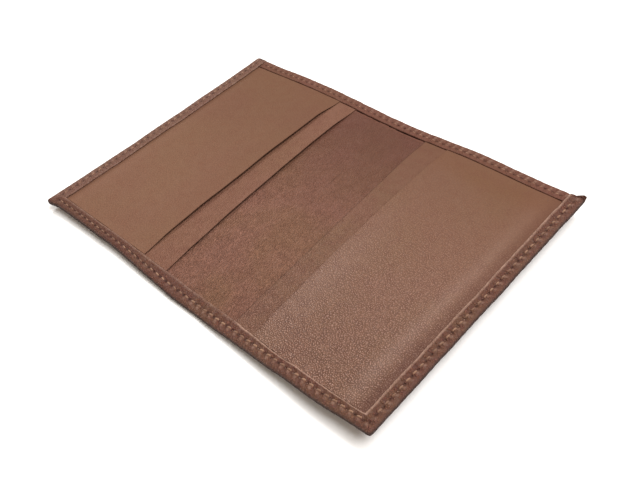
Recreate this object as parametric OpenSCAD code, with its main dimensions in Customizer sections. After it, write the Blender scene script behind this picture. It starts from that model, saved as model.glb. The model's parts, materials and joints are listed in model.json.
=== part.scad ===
// Bifold card holder in turned-edge leather, lying open with its inside up.
// X runs across both halves, Y along the fold and Z up from the table.
// The origin is under the middle of the fold. The far edge, where the banknote
// compartment opens, is at +Y.

/* [Folder] */
// Length across both halves when it lies open
open_length = 140; // [126:1:170]
// Length of the fold
fold_length = 98.5; // [92:0.5:120]
// Distance between the two lines that the leather bends at
spine_width = 8; // [7.6:0.2:12]
// Angle that each half stands up from the table at rest
rest_tilt = 3; // [0:0.5:8]

/* [Leather and cloth] */
// Thickness of the outer cover
cover_t = 0.8; // [0.6:0.1:1.1]
// Thickness of the liner, the pockets and the turned hems
leather_t = 0.5; // [0.4:0.05:0.6]
// Thickness of a pocket where it is pared down to go under a hem
pared_t = 0.15; // [0.1:0.05:0.2]
// Thickness of the woven cloth that lines the banknote compartment
lining_t = 0.15; // [0.1:0.05:0.25]
// Thickness of the cover's own hem inside the banknote compartment
cover_hem_t = 0.3; // [0.25:0.05:0.35]
// Height of the empty banknote compartment
note_gap = 0.35; // [0.35:0.05:0.5]
// Height of an empty card slot
slot_gap = 0.15; // [0.1:0.05:0.2]

/* [Hems] */
// Width of the hems that show on the inside
hem_width = 4.7; // [4:0.1:6]
// Width of the cover's own hem inside the banknote compartment
cover_hem_width = 9; // [7:0.5:14]
// Thickness of the leather where it goes round an edge
edge_wall = 0.6; // [0.4:0.05:0.8]
// How far the liner's far edge stands back from the cover's
far_setback = 1; // [0.5:0.1:2]

/* [Pockets] */
// Distance of the left front pocket's mouth from the middle of the fold
left_front_mouth = 24.8; // [22:0.2:34]
// Distance of the left rear pocket's mouth from the middle of the fold
left_rear_mouth = 16; // [10:0.2:20]
// Distance of the right front pocket's mouth from the middle of the fold
right_front_mouth = 23.8; // [22:0.2:34]
// Distance of the right rear pocket's mouth from the middle of the fold
right_rear_mouth = 15; // [10:0.2:20]
// How far a rear pocket's leather goes on under the front pocket
pocket_overlap = 7; // [5:0.5:9]
// Distance of the seam that closes a rear pocket from the end of its half
backing_seam_inset = 8.5; // [7:0.5:12]

/* [Stitching] */
// Distance of the seam from the edge
seam_inset = 2.3; // [2:0.1:2.6]
// Distance from one stitch to the next
stitch_pitch = 2.7; // [2.2:0.1:4]
// Length of thread that shows in one stitch
stitch_length = 1.9; // [1.2:0.1:2]
// Diameter of the thread
thread_d = 0.3; // [0.2:0.05:0.35]
// Width of the groove that the thread is pulled into
groove_width = 0.6; // [0.5:0.05:0.8]
// Depth of the groove that the thread is pulled into
groove_depth = 0.2; // [0.1:0.02:0.22]

/* [Hidden] */
$fn = 24;
// The leather bends about two lines at the edges of the spine, level with the
// cover's inner face.
half_length = open_length / 2;
hinge_x = spine_width / 2;
hinge_z = cover_t;
bend_gap = 0.1;
fold_clearance = 0.3;
near_y = -fold_length / 2;
far_y = fold_length / 2;
liner_far_y = far_y - far_setback;
hem_inner_x = half_length - hem_width;
hem_inner_near_y = near_y + hem_width;
hem_inner_far_y = liner_far_y - hem_width;
fit_gap = 0.05;
cut_over = 1;

// Outline of what lies inside the turned edges, and of the pockets' fields.
border_x = half_length - edge_wall - fit_gap;
border_y = [near_y + edge_wall + fit_gap, liner_far_y - edge_wall - fit_gap];
field_y = [hem_inner_near_y + fit_gap, hem_inner_far_y - fit_gap];
rear_field_y = [field_y[0] + leather_t + fit_gap, field_y[1] - leather_t - fit_gap];
backing_seam_x = half_length - backing_seam_inset;
backing_margin = 1.5;

// Heights of the layers, from the table up.
lining_z = cover_t;
liner_z = cover_t + lining_t + note_gap;
liner_top = liner_z + leather_t;
rear_pocket_z = liner_top + slot_gap;
rear_pocket_top = rear_pocket_z + leather_t;
front_pocket_z = rear_pocket_top + slot_gap;
front_pocket_top = front_pocket_z + leather_t;
front_border_z = liner_top + pared_t;
hem_z = front_border_z + pared_t;
hem_top = hem_z + leather_t;
cover_hem_top = cover_t + cover_hem_t;

// The right half is +1 and the left half is -1.
RIGHT = 1;
LEFT = -1;
NEAR = -1;
FAR = 1;

COVER = [0.43, 0.30, 0.24];
LINER = [0.53, 0.38, 0.31];
POCKET = [0.55, 0.40, 0.32];
HEM = [0.47, 0.33, 0.26];
CLOTH = [0.20, 0.16, 0.15];
THREAD = [0.64, 0.44, 0.28];

// A slab between two corners, given as a pair of limits along each axis.
module slab(x, y, z) {
    translate([x[0], y[0], z[0]])
        cube([x[1] - x[0], y[1] - y[0], z[1] - z[0]]);
}

// Places one half at its rest tilt. Its children are drawn flat, with x as the
// distance from the middle of the fold.
module half(side) {
    mirror([side < 0 ? 1 : 0, 0, 0])
        translate([hinge_x, 0, hinge_z])
            rotate([0, -rest_tilt, 0])
                translate([-hinge_x, 0, -hinge_z])
                    children();
}

// How far a spine layer may reach from the middle, so that the halves clear it
// when they stand upright.
function spine_reach(top) = hinge_x - (top - hinge_z) - fold_clearance;

// Where a layer of a half starts, so that it clears the spine's lower layers
// when the half stands upright.
function half_start(top) = hinge_x + max(bend_gap, top - hinge_z - leather_t);

function both_ways(reach) = [-reach, reach];

function in_order(a, b) = [min(a, b), max(a, b)];

// Thread of one stitch, lying along X or Y on the floor of its groove.
module stitch(x, y, groove_floor, along_y) {
    translate([x, y, groove_floor + thread_d / 2])
        rotate(along_y ? [90, 0, 0] : [0, 90, 0])
            cylinder(h = stitch_length, d = thread_d, center = true);
}

// Stitches in a row along X, from the first that clears the fold.
module stitch_row_x(y, groove_floor, last_x) {
    first = ceil((half_start(hem_top) + stitch_length / 2) / stitch_pitch);
    last = floor((last_x - stitch_length / 2) / stitch_pitch);
    for (i = [first : last])
        stitch(i * stitch_pitch, y, groove_floor, false);
}

// Stitches in a row along Y, shared out evenly between two ends.
module stitch_row_y(x, groove_floor, y) {
    steps = floor((y[1] - y[0]) / stitch_pitch);
    step = (y[1] - y[0]) / steps;
    for (i = [0 : steps])
        stitch(x, y[0] + i * step, groove_floor, true);
}

module groove_x(x, y, top) {
    slab(x, [y - groove_width / 2, y + groove_width / 2], [top - groove_depth, top + cut_over]);
}

module groove_y(x, y, top) {
    slab([x - groove_width / 2, x + groove_width / 2], y, [top - groove_depth, top + cut_over]);
}

// Outer cover.
module half_cover(side) {
    color(COVER) half(side)
        slab([hinge_x + bend_gap, half_length], [near_y, far_y], [0, cover_t]);
}

module spine_cover() {
    color(COVER)
        slab(both_ways(hinge_x - bend_gap), [near_y, far_y], [0, cover_t]);
}

// Woven lining, glued to the inner face of the cover.
module lining_sheet(x) {
    slab(x, [border_y[0], far_y - cover_hem_width - fit_gap], [lining_z, lining_z + lining_t]);
}

module half_lining(side) {
    color(CLOTH) half(side)
        lining_sheet([half_start(lining_z + lining_t), border_x]);
}

module spine_lining() {
    color(CLOTH) lining_sheet(both_ways(spine_reach(lining_z + lining_t)));
}

// Liner that carries the pockets.
module liner_sheet(x) {
    slab(x, border_y, [liner_z, liner_top]);
}

module half_liner(side) {
    color(LINER) half(side)
        liner_sheet([half_start(liner_top), border_x]);
}

module spine_liner() {
    color(LINER) liner_sheet(both_ways(spine_reach(liner_top)));
}

// Rear pocket: a strip of leather behind the front pocket's mouth, with pared
// tabs that go under the near and far hems.
module rear_pocket(side, mouth, front_mouth) {
    strip = [mouth, front_mouth + pocket_overlap];
    color(POCKET) half(side) {
        slab(strip, rear_field_y, [rear_pocket_z, rear_pocket_top]);
        for (way = [NEAR, FAR]) {
            field_edge = way == NEAR ? rear_field_y[0] : rear_field_y[1];
            border_edge = way == NEAR ? border_y[0] : border_y[1];
            wall_edge = field_edge - way * leather_t;
            slab(strip, in_order(field_edge, border_edge), [liner_top, liner_top + pared_t]);
            slab(strip, in_order(field_edge, wall_edge), [liner_top, rear_pocket_top]);
        }
    }
}

// Cloth that carries the rear pocket on to its seam, under the front pocket.
module rear_pocket_backing(side, front_mouth) {
    color(CLOTH) half(side)
        slab([front_mouth + pocket_overlap + fit_gap, backing_seam_x + backing_margin],
             rear_field_y, [rear_pocket_z, rear_pocket_z + lining_t]);
}

// Front pocket: a field that stands a little above the hems, a wall that drops
// round three sides of it, and a pared border that goes under the hems.
module front_pocket(side, mouth) {
    field_x = [mouth, hem_inner_x - fit_gap];
    inside_x = [mouth - cut_over, field_x[1] - leather_t];
    inside_y = [field_y[0] + leather_t, field_y[1] - leather_t];
    color(POCKET) half(side) {
        difference() {
            slab(field_x, field_y, [front_border_z, front_pocket_top]);
            slab(inside_x, inside_y, [front_border_z - cut_over, front_pocket_z]);
        }
        difference() {
            slab([mouth, border_x], border_y, [front_border_z, hem_z]);
            slab(inside_x, inside_y, [front_border_z - cut_over, hem_z + cut_over]);
        }
    }
}

// Hem of the cover, turned over the end of a half and down its edge.
module end_hem(side) {
    hem_y = [hem_inner_near_y + fit_gap, far_y];
    color(HEM) half(side) {
        difference() {
            slab([hem_inner_x, half_length], hem_y, [hem_z, hem_top]);
            groove_y(half_length - seam_inset, [hem_y[0] - cut_over, liner_far_y - seam_inset],
                     hem_top);
        }
        slab([half_length - edge_wall, half_length], hem_y, [cover_t, hem_z]);
    }
}

// Hem that runs along X, with a wall down its outer edge.
module hem_strip(x, edge_y, way, wall_z) {
    difference() {
        slab(x, in_order(edge_y, edge_y - way * hem_width), [hem_z, hem_top]);
        groove_x([x[0] - cut_over, min(x[1] + cut_over, half_length - seam_inset)],
                 edge_y - way * seam_inset, hem_top);
    }
    slab(x, in_order(edge_y, edge_y - way * edge_wall), [wall_z, hem_z]);
}

// Hem of the cover, turned over its near side.
module half_near_hem(side) {
    color(HEM) half(side)
        hem_strip([half_start(hem_top), half_length], near_y, NEAR, cover_t);
}

module spine_near_hem() {
    color(HEM) hem_strip(both_ways(spine_reach(hem_top)), near_y, NEAR, cover_t);
}

// Hem of the liner along the banknote compartment's mouth.
module half_liner_far_hem(side) {
    color(HEM) half(side)
        hem_strip([half_start(hem_top), hem_inner_x - fit_gap], liner_far_y, FAR, liner_z);
}

module spine_liner_far_hem() {
    color(HEM) hem_strip(both_ways(spine_reach(hem_top)), liner_far_y, FAR, liner_z);
}

// The cover's own hem, inside the banknote compartment's mouth.
module cover_far_hem_strip(x) {
    difference() {
        slab(x, [far_y - cover_hem_width, far_y], [cover_t, cover_hem_top]);
        groove_x([x[0] - cut_over, x[1] + cut_over], far_y - seam_inset, cover_hem_top);
    }
}

module half_cover_far_hem(side) {
    color(HEM) half(side)
        cover_far_hem_strip([half_start(cover_hem_top), border_x]);
}

module spine_cover_far_hem() {
    color(HEM) cover_far_hem_strip(both_ways(spine_reach(cover_hem_top)));
}

// Seams.
module end_stitching(side) {
    color(THREAD) half(side)
        stitch_row_y(half_length - seam_inset, hem_top - groove_depth,
                     [hem_inner_near_y + stitch_length, hem_inner_far_y]);
}

module near_stitching(side) {
    color(THREAD) half(side)
        stitch_row_x(near_y + seam_inset, hem_top - groove_depth, half_length - seam_inset);
}

module liner_far_stitching(side) {
    color(THREAD) half(side)
        stitch_row_x(liner_far_y - seam_inset, hem_top - groove_depth, hem_inner_x);
}

module cover_far_stitching(side) {
    color(THREAD) half(side)
        stitch_row_x(far_y - seam_inset, cover_hem_top - groove_depth, hem_inner_x);
}

// The one stitch of each seam that lies across the middle of the fold.
module spine_stitching() {
    color(THREAD) {
        stitch(0, near_y + seam_inset, hem_top - groove_depth, false);
        stitch(0, liner_far_y - seam_inset, hem_top - groove_depth, false);
        stitch(0, far_y - seam_inset, cover_hem_top - groove_depth, false);
    }
}

// Seam that closes the bottom of a rear pocket, lying on its cloth.
module backing_seam(side) {
    color(CLOTH) half(side)
        stitch_row_y(backing_seam_x, rear_pocket_z + lining_t,
                     [rear_field_y[0] + stitch_length, rear_field_y[1] - stitch_length]);
}

half_cover(LEFT);  // left_cover
spine_cover();
half_cover(RIGHT);  // right_cover
half_lining(LEFT);  // left_lining
spine_lining();
half_lining(RIGHT);  // right_lining
half_liner(LEFT);  // left_liner
spine_liner();
half_liner(RIGHT);  // right_liner
rear_pocket(LEFT, left_rear_mouth, left_front_mouth);  // left_rear_pocket
rear_pocket_backing(LEFT, left_front_mouth);  // left_rear_pocket_backing
front_pocket(LEFT, left_front_mouth);  // left_front_pocket
rear_pocket(RIGHT, right_rear_mouth, right_front_mouth);  // right_rear_pocket
rear_pocket_backing(RIGHT, right_front_mouth);  // right_rear_pocket_backing
front_pocket(RIGHT, right_front_mouth);  // right_front_pocket
end_hem(LEFT);  // left_end_hem
end_hem(RIGHT);  // right_end_hem
half_near_hem(LEFT);  // left_near_hem
spine_near_hem();
half_near_hem(RIGHT);  // right_near_hem
half_liner_far_hem(LEFT);  // left_liner_far_hem
spine_liner_far_hem();
half_liner_far_hem(RIGHT);  // right_liner_far_hem
half_cover_far_hem(LEFT);  // left_cover_far_hem
spine_cover_far_hem();
half_cover_far_hem(RIGHT);  // right_cover_far_hem
end_stitching(LEFT);  // left_end_stitching
end_stitching(RIGHT);  // right_end_stitching
near_stitching(LEFT);  // left_near_stitching
near_stitching(RIGHT);  // right_near_stitching
liner_far_stitching(LEFT);  // left_liner_far_stitching
liner_far_stitching(RIGHT);  // right_liner_far_stitching
cover_far_stitching(LEFT);  // left_cover_far_stitching
cover_far_stitching(RIGHT);  // right_cover_far_stitching
spine_stitching();
backing_seam(LEFT);  // left_backing_seam
backing_seam(RIGHT);  // right_backing_seam
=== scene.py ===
"""Looks of the bifold card holder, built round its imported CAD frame.

Every piece is drawn flat first, in millimetres: x is the distance across the sheet from the middle of
the fold, y runs along the fold and h is the height above the table. place() then bends it at the
fold's two hinge lines, tilts the halves and warps them a little, like used leather.
"""

import json
import math

import bmesh
import bpy
import numpy as np
from mathutils import Matrix, Vector


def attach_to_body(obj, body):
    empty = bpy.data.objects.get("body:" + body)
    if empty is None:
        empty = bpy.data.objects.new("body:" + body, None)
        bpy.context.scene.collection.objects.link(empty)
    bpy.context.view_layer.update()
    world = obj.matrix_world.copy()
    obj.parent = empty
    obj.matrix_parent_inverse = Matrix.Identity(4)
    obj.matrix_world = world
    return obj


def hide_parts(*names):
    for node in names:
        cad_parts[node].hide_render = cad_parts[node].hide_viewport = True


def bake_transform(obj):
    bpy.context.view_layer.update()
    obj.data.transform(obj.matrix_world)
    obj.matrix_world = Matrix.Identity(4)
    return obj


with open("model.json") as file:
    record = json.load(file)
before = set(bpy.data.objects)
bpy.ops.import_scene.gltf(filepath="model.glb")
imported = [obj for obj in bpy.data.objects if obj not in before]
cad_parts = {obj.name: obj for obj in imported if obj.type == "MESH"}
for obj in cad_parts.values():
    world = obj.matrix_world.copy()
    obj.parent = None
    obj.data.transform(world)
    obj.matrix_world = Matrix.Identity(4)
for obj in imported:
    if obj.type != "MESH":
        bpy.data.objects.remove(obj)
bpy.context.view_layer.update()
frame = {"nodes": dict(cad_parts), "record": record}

MM = 0.001
RIGHT, LEFT = 1, -1
SIDE_NAME = {RIGHT: "right", LEFT: "left"}

# -------------------- sizes from the frame

FOLD = next(j for j in frame["record"]["behaviour"]["joints"] if j["name"] == "fold_right")
HINGE_X = FOLD["pos_m"][0] / MM
HINGE_Z = FOLD["pos_m"][2] / MM
TILT = math.radians(-FOLD["range_deg"][0])


def flat_box(node):
    """Lowest and highest corner of a right or left node, turned back flat, as (distance, y, h) in mm."""
    co = np.array([v.co for v in frame["nodes"][node].data.vertices]) / MM
    d, dz = np.abs(co[:, 0]) - HINGE_X, co[:, 2] - HINGE_Z
    flat = np.stack([HINGE_X + d * math.cos(TILT) + dz * math.sin(TILT), co[:, 1],
                     HINGE_Z - d * math.sin(TILT) + dz * math.cos(TILT)], axis=1)
    return flat.min(axis=0), flat.max(axis=0)


(_, NEAR_Y, _), (HALF, FAR_Y, COVER_T) = flat_box("right_cover")
(_, LINER_NEAR_Y, LINER_Z), (BORDER_X, _, LINER_TOP) = flat_box("right_liner")
(_, HEM_INNER_FAR_Y, _), (_, LINER_FAR_Y, _) = flat_box("right_liner_far_hem")
(HEM_INNER_X, _, _), (_, _, HEM_TOP) = flat_box("right_end_hem")
(_, COVER_HEM_Y, _), (_, _, COVER_HEM_TOP) = flat_box("right_cover_far_hem")
HEM_WIDTH = HALF - HEM_INNER_X
HEM_INNER_NEAR_Y = NEAR_Y + HEM_WIDTH
LENGTH = FAR_Y - NEAR_Y

LEATHER_T = 0.5
PARED_T = 0.15
SEAM_INSET = 2.3
STITCH_PITCH, STITCH_LENGTH = 2.7, 1.9
THREAD_R, THIN_THREAD_R = 0.25, 0.2     # thin in the seams that are drawn tighter

# -------------------- how the leather lies

BEND = 5.6                              # width of the leather that bends at each hinge line
WARP_NEAR = {RIGHT: 1.6, LEFT: -1.6}    # rise of each half's near corner over its straight tilt
WARP_FAR = {RIGHT: 1.8, LEFT: -2.5}     # and of its far corner
WARP_MIDDLE = {RIGHT: 0.0, LEFT: -0.5}  # and of the middle of its end
WARP_POWER = 1.5                        # how steeply that rise grows towards the end
RIPPLE, CROSS_RIPPLE = 0.16, 0.1        # heights of two sets of long, low ripples
RIPPLE_FROM, RIPPLE_OVER = 8, 25        # how far from the fold they start, and over what they grow
SHEAR = {RIGHT: -0.7, LEFT: -1.0}       # slide of each end along the fold
SPREAD = {RIGHT: -0.1, LEFT: 1.4}       # reach of each near corner over its far one, halved
BOW = {RIGHT: -0.85, LEFT: 1.05}        # how far the near edge lies inside its straight line
BOW_FROM, BOW_OVER = 2, 40              # how far left of the fold, and over what, one becomes the other
BOW_FADE = {RIGHT: 20, LEFT: 6}         # over what the bow dies away towards a corner
BOW_REACH = 3.2                         # and how far in from the edge it goes
OPENING = 1.6                           # how far the inner leaf stands off the cover at the far edge
OPENING_OVER = 32                       # over what it rises from each end hem
OPENING_FROM = 0.25                     # share of the way to the far edge where it starts to rise


def smooth(t):
    """0 below 0, 1 above 1, and a smooth step between."""
    t = np.clip(t, 0, 1)
    return t * t * (3 - 2 * t)


def mix(a, b, t):
    return a + (b - a) * t


def hump(distance, width):
    """1 at distance 0, and next to nothing at twice the width on either side."""
    return np.exp(-(distance / width) ** 2)


def along(y):
    """0 at the near edge and 1 at the far edge."""
    return (y - NEAR_Y) / LENGTH


def arc(y):
    """0 at the near and the far edge, and 1 halfway between them."""
    return np.sin(math.pi * np.clip(along(y), 0, 1))


def by_side(x, table):
    """The value that a table gives for the half that each point is on."""
    return np.where(x < 0, table[LEFT], table[RIGHT])


def flat_points(x, y, h):
    """Flat points from their coordinates. A single number counts for all of them."""
    return np.stack(np.broadcast_arrays(x, y, h), axis=-1)


def wave(s, seed, length):
    """Smooth irregular wave between -1 and 1."""
    k = 2 * math.pi / length
    return (0.5 * np.sin(k * s + 1.7 * seed) + 0.3 * np.sin(k * 1.63 * s + 2.9 * seed)
            + 0.2 * np.sin(k * 2.71 * s + 4.3 * seed))


def lie(x, y):
    """How far the leather at (x, y) lies above its straight tilt."""
    near, far, middle = (by_side(x, warp) for warp in (WARP_NEAR, WARP_FAR, WARP_MIDDLE))
    warp = mix(near, far, along(y)) + middle * arc(y)
    ripple = RIPPLE * wave(y + 0.4 * x, 2.0, 71) + CROSS_RIPPLE * wave(x - 0.7 * y, 5.0, 43)
    return (warp * (np.abs(x) / HALF) ** WARP_POWER
            + ripple * smooth((np.abs(x) - RIPPLE_FROM) / RIPPLE_OVER))


def near_bow(x, y):
    """How far the near edge has drawn in on the left half, and come out from the fold on to the right."""
    drawn = mix(BOW[RIGHT], BOW[LEFT], smooth((-x - BOW_FROM) / BOW_OVER))
    loose = smooth((HALF - np.abs(x)) / by_side(x, BOW_FADE))
    return drawn * loose * hump(y - NEAR_Y, BOW_REACH)


def skew(x, y):
    """How far the leather at (x, y) has slid away from its pattern, outwards and along the fold."""
    reach = np.abs(x) / HALF
    outwards = by_side(x, SPREAD) * reach * (1 - 2 * along(y))
    return outwards, by_side(x, SHEAR) * reach + near_bow(x, y)


def opening(x, y):
    """How far the inner leaf stands off the cover, between the end hems and towards the far edge."""
    between = smooth((HEM_INNER_X - 1 - np.abs(x)) / OPENING_OVER)
    return OPENING * between * smooth((along(y) - OPENING_FROM) / (1 - OPENING_FROM))


def place(flat, leaf=False):
    """World positions in metres of flat points in mm, of the cover or of the inner leaf."""
    x, y, h = flat[..., 0], flat[..., 1], flat[..., 2]
    d, dz = np.abs(x) - HINGE_X, h - HINGE_Z
    a = TILT * smooth(d / BEND + 0.5)
    out = HINGE_X + d * np.cos(a) - dz * np.sin(a)
    up = HINGE_Z + d * np.sin(a) + dz * np.cos(a) + lie(x, y) + leaf * opening(x, y)
    outwards, aside = skew(x, y)
    return np.stack([np.sign(x) * (out + outwards), y + aside, up], axis=-1) * MM


# -------------------- mesh building

def new_object(name, data):
    obj = bpy.data.objects.new(name, data)
    bpy.context.scene.collection.objects.link(obj)
    return obj


WELD, SLIVER = 2e-6, 1e-7  # metres: points this close are joined, edges this short go
SHARP_TURN = 42            # degrees: a sharper turn between faces is drawn as an edge


class Skin:
    """Flat points, faces and two marks a point: dark for burnished edges and painted shade, pale for cut
    edges and painted highlights.
    """

    def __init__(self):
        self.points, self.marks, self.faces, self.count = [], [], [], 0

    def add(self, x, y, h, dark=0.0, pale=0.0):
        """New points, and their indices in the shape of the coordinates."""
        points = flat_points(x, y, h).astype(float)
        marks = np.stack(np.broadcast_arrays(dark, pale, points[..., 0])[:2], axis=-1).astype(float)
        self.points.append(points.reshape(-1, 3))
        self.marks.append(marks.reshape(-1, 2))
        index = self.count + np.arange(points[..., 0].size).reshape(points.shape[:-1])
        self.count += index.size
        return index

    def rows(self, index, loop=False):
        """Quads between rows of indices."""
        index = np.stack(index)
        if loop:
            index = np.concatenate([index, index[:, :1]], axis=1)
        a, b, c, d = index[:-1, :-1], index[1:, :-1], index[1:, 1:], index[:-1, 1:]
        self.faces += np.stack([a, b, c, d], axis=-1).reshape(-1, 4).tolist()

    def grid(self, x, y, h, dark=0.0, pale=0.0, loop=False):
        index = self.add(x, y, h, dark, pale)
        self.rows(index, loop)
        return index

    def zip(self, fine, coarse, picks):
        """Faces between a fine row and a coarse one whose points stand at the fine row's picks."""
        for k in range(len(picks) - 1):
            edge = [int(i) for i in [*fine[picks[k]:picks[k + 1] + 1], coarse[k + 1], coarse[k]]]
            self.faces.append(list(dict.fromkeys(edge)))

    def object(self, name, material, side=RIGHT, sharp=SHARP_TURN, adjust=None, leaf=False):
        """One mesh object in the world, with its flat place stored for the textures."""
        flat = np.concatenate(self.points)
        marks = np.concatenate(self.marks)
        flat[:, 0] *= side
        if adjust:
            flat = adjust(flat)
        mesh = bpy.data.meshes.new(name)
        mesh.from_pydata(place(flat, leaf).tolist(), [], self.faces)
        rest = mesh.attributes.new("rest", "FLOAT_VECTOR", "POINT")
        rest.data.foreach_set("vector", flat.astype(np.float32).ravel())
        for k, mark in enumerate(("dark", "pale")):
            layer = mesh.attributes.new(mark, "FLOAT", "POINT")
            layer.data.foreach_set("value", marks[:, k].astype(np.float32))
        bm = bmesh.new()
        bm.from_mesh(mesh)
        bmesh.ops.remove_doubles(bm, verts=bm.verts, dist=WELD)
        bmesh.ops.dissolve_degenerate(bm, edges=bm.edges, dist=SLIVER)
        bmesh.ops.recalc_face_normals(bm, faces=bm.faces)
        bm.to_mesh(mesh)
        bm.free()
        mesh.shade_smooth()
        mesh.set_sharp_from_angle(angle=math.radians(sharp))
        mesh.materials.append(material)
        return new_object(name, mesh)


def attach(obj, side, bends):
    """obj is parented to its half's body. One that bends at the hinge line between the spine and the half is
    not parented: only its transform is baked into its mesh.
    """
    half = f"{SIDE_NAME[side]}_half"
    if bends:
        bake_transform(obj)
    else:
        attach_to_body(obj, half)


# -------------------- hems

# Distances from the outer edge at which a hem and the cover's outside have a row of points.
HEM_OFFSETS = (4.2, 3.8, 3.4, 3.0, 2.75, 2.55, 2.4, 2.3, 2.2, 2.05, 1.85, 1.6, 1.35)
UNDER_OFFSETS = (1.35, 1.6, 1.85, 2.05, 2.2, 2.3, 2.4, 2.55, 2.75, 3.0, 3.4)
FIELD_OFFSET = 3.8  # where the outside's fine rows meet its plain field
WALL_OFFSET = 0.75  # inner side of the leather that goes round an edge
WRAP_ANGLES = (80, 60, 40, 20, 0, -20, -40, -60, -80, -90)
WRAP_R = 1.1
CORNER_ZONE = 8  # length over which the hem's samples fan out to the mitre
CORNER_R = 1.1
CORNER_CUT = 0.3  # how far the near corners are drawn in, as a share of that radius

# A hem's cut edge from below: inset, depth under the upper face, pale mark (paler raw edge and painted
# highlight) and dark mark (dark raw edge and painted shade).
CUT_EDGE = ((0.0, LEATHER_T, 0.0, 0.55), (0.0, 0.13, 0.8, 0.1), (0.09, 0.03, 1.0, 0.0),
            (0.25, 0.0, 0.9, 0.0))
CUT_RIM = 0.55                        # pale mark of the hem's first row beside it: painted highlight
HEM_FADE = {RIGHT: 0.0, LEFT: 0.13}   # how much paler the end hem is made
HEM_DEPTH = {RIGHT: 0.0, LEFT: 0.12}  # how much darker the near hem is

PUCKER = {RIGHT: 1.0, LEFT: 0.55}  # how strongly the seams pull the hems in
GROOVE_DEPTH, GROOVE_WIDTH = 0.15, 0.55
HOLE_DEPTH, HOLE_LENGTH, HOLE_WIDTH = 0.4, 0.42, 0.34
PUFF_HEIGHT = 0.26
PUFF_LINES = ((3.1, 0.6), (1.45, 0.55))  # distance from the edge and width of the two lines of puffs
PUFF_HIGHLIGHT_LINE = (1.6, 0.5)  # and of the line along which their tops get a painted highlight


def pits(o, s, pitch, first):
    """1 at a slanting needle hole of the seam, fading to 0 round it. Holes stand half a pitch from first."""
    step = (s - first) / pitch - 0.5
    to_hole = (step - np.round(step)) * pitch
    off = o - SEAM_INSET
    return hump(to_hole - 0.3 * off, HOLE_LENGTH) * hump(off + 0.25 * to_hole, HOLE_WIDTH)


def hem_relief(side, o, s, pitch, first, seed):
    """(relief, dark, pale) of a hem's upper face: a pulled-in seam, its holes and the puffs between them.
    dark is painted shade in the holes and the groove, pale a painted highlight on the puffs' tops.
    """
    hole = pits(o, s, pitch, first)
    strength = PUCKER[side] * (1 + 0.3 * wave(s, seed, 9.1))
    groove = hump(o - SEAM_INSET, GROOVE_WIDTH)
    between = np.cos(2 * math.pi * ((s - first) / pitch + 0.12 * (o - SEAM_INSET)))
    pucker = sum(hump(o - line, width) for line, width in PUFF_LINES)
    relief = (-GROOVE_DEPTH * groove * strength - HOLE_DEPTH * hole * PUCKER[side]
              + PUFF_HEIGHT * between * pucker * strength + 0.08 * wave(s, seed + 3, 4.1) * pucker)
    # Painted highlight on the puffs' tops; the dark mark is painted shade in the holes and the groove.
    line, width = PUFF_HIGHLIGHT_LINE
    puff = np.clip(between, 0, 1) * strength * hump(o - line, width)
    return relief, (0.4 + 0.55 * PUCKER[side]) * hole + 0.12 * groove, 0.3 * np.clip(puff, 0, 1)


def burnish_and_underside_shade(degrees):
    """Dark mark round a wrapped edge, by the angle up from its middle: the burnished edge's own colour, with
    painted shade added on its underside, so most of it lies just below the middle.
    """
    from_top, from_bottom = 65 - degrees, degrees + 115
    return float(smooth(from_top / 70) * smooth(from_bottom / 60))


def stack_under_hem(side, x):
    """Height of what lies under a hem that runs along X: the liner, then each pocket's pared border."""
    return LINER_TOP + sum(PARED_T * smooth((x - mouth + 0.5) / 1.2) for mouth in MOUTHS[side])


def round_corner(x, y):
    """Rounds the near outer corner of a half."""
    u, v = np.clip(1 - (HALF - x) / CORNER_R, 0, 1), np.clip(1 - (y - NEAR_Y) / CORNER_R, 0, 1)
    cut = CORNER_CUT * CORNER_R * u * v
    return x - cut, y + cut


# -------------------- outer cover with its turned edges

def spaced(start, stop, step=0.3, group=4):
    """Evenly spaced samples, with a whole number of groups of intervals."""
    return np.linspace(start, stop, group * max(1, round((stop - start) / step / group)) + 1)


def fan(v, o):
    """Distance from the corner along an edge, at offset o, of a sample v from the mitre's inner end."""
    return np.where(v < CORNER_ZONE, o + v * (CORNER_ZONE + HEM_WIDTH - o) / CORNER_ZONE, v + HEM_WIDTH)


def seam_span(node):
    """First stitch and pitch of an end seam."""
    low, high = flat_box(node)
    first, last = low[1] + STITCH_LENGTH / 2, high[1] - STITCH_LENGTH / 2
    return first, (last - first) / math.floor((last - first) / STITCH_PITCH + 1e-6)


END_FIRST, END_PITCH = seam_span("right_end_stitching")
MOUTHS = {side: (flat_box(f"{SIDE_NAME[side]}_rear_pocket")[0][0],
                 flat_box(f"{SIDE_NAME[side]}_front_pocket")[0][0]) for side in (RIGHT, LEFT)}

# Samples along X and Y: fine ones for the hems, and which of them the plain faces share.
FINE_X = spaced(0, HEM_INNER_X)
PICKS_X = np.arange(0, len(FINE_X), 4)
CUT_GAP = 0.03  # half the width of the step down from the cover's far hem
FAR_ROWS = FAR_Y - np.array([3.6, 3.0, 2.75, 2.5, 2.3, 2.1, 1.85, 1.5, 1.2, FAR_Y - LINER_FAR_Y])
BEFORE_HEM = spaced(HEM_INNER_NEAR_Y, COVER_HEM_Y - CUT_GAP)
ON_HEM = spaced(COVER_HEM_Y + CUT_GAP, FAR_Y - 4)
FINE_Y = np.concatenate([BEFORE_HEM, ON_HEM, FAR_ROWS])
PICKS_Y = np.concatenate([np.arange(0, len(BEFORE_HEM), 4), len(BEFORE_HEM) + np.arange(0, len(ON_HEM), 4),
                          len(BEFORE_HEM) + len(ON_HEM) + np.arange(len(FAR_ROWS))])
PICKS = np.concatenate([PICKS_X, len(FINE_X) - 1 + PICKS_Y[1:]])

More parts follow.
